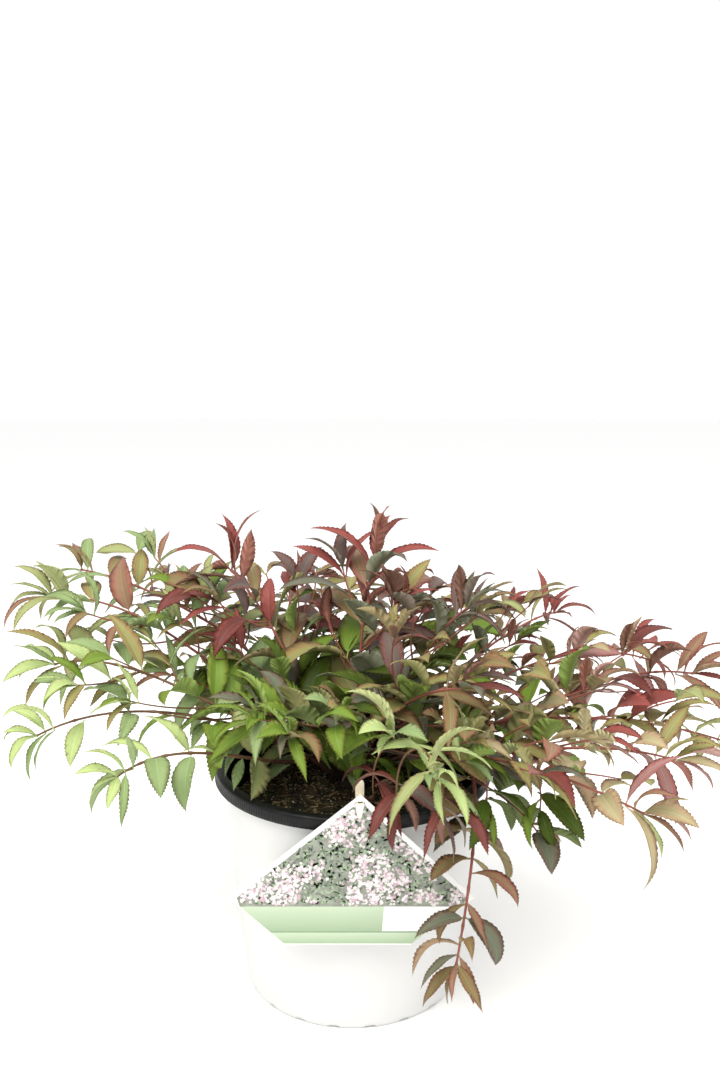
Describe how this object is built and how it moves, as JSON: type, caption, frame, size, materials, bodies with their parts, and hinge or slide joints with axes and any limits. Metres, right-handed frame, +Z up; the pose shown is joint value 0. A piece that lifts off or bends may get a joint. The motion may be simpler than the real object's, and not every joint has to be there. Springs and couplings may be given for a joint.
{
  "type": "potted deutzia shrub",
  "caption": "Low spreading deutzia with arching leafy shoots in a round tapered nursery pot, with a plant label pegged in front.",
  "frame": {"origin": "centre of the pot's flat underside", "axes": "+Z up along the pot's axis, +X to the right seen from the label's side, -Y towards the label"},
  "size_m": [0.4788, 0.3754, 0.2941],
  "materials": {
    "pot_white": "satin",
    "pot_black": "satin",
    "soil": "matte",
    "label_card": "satin",
    "label_peg": "satin",
    "bark": "matte",
    "leaf_red": "satin",
    "leaf_mixed": "satin",
    "leaf_green": "satin",
    "leaf_lime": "satin",
    "leaf_dusk": "satin",
    "leaf_olive": "satin"
  },
  "bodies": {
    "root": {"bough_back_high": "bark", "bough_back_left": "bark", "bough_back_mid": "bark", "bough_back_right": "bark", "bough_centre_back": "bark", "bough_centre_front": "bark", "bough_centre_left": "bark", "bough_centre_right": "bark", "bough_centre_top": "bark", "bough_drooping": "bark", "bough_front_inner": "bark", "bough_front_right": "bark", "bough_left_back": "bark", "bough_left_front": "bark", "bough_left_high": "bark", "bough_left_low": "bark", "bough_left_mid": "bark", "bough_left_rear": "bark", "bough_rear_far": "bark", "bough_rear_right": "bark", "bough_right_back": "bark", "bough_right_front": "bark", "bough_right_high": "bark", "bough_right_low": "bark", "bough_right_mid": "bark", "label_card": "label_card", "label_peg": "label_peg", "leaves_back_high": "leaf_dusk", "leaves_back_left": "leaf_dusk", "leaves_back_mid": "leaf_green", "leaves_back_right": "leaf_red", "leaves_centre_back": "leaf_red", "leaves_centre_front": "leaf_green", "leaves_centre_left": "leaf_red", "leaves_centre_right": "leaf_dusk", "leaves_centre_top": "leaf_red", "leaves_drooping": "leaf_dusk", "leaves_front_inner": "leaf_dusk", "leaves_front_right": "leaf_lime", "leaves_left_back": "leaf_red", "leaves_left_front": "leaf_lime", "leaves_left_high": "leaf_mixed", "leaves_left_low": "leaf_lime", "leaves_left_mid": "leaf_green", "leaves_left_rear": "leaf_green", "leaves_rear_far": "leaf_green", "leaves_rear_right": "leaf_red", "leaves_right_back": "leaf_red", "leaves_right_front": "leaf_olive", "leaves_right_high": "leaf_red", "leaves_right_low": "leaf_olive", "leaves_right_mid": "leaf_olive", "pot_liner_rim": "pot_black", "pot_shell": "pot_white", "root_crown": "bark", "soil": "soil"}
  },
  "joints": []
}
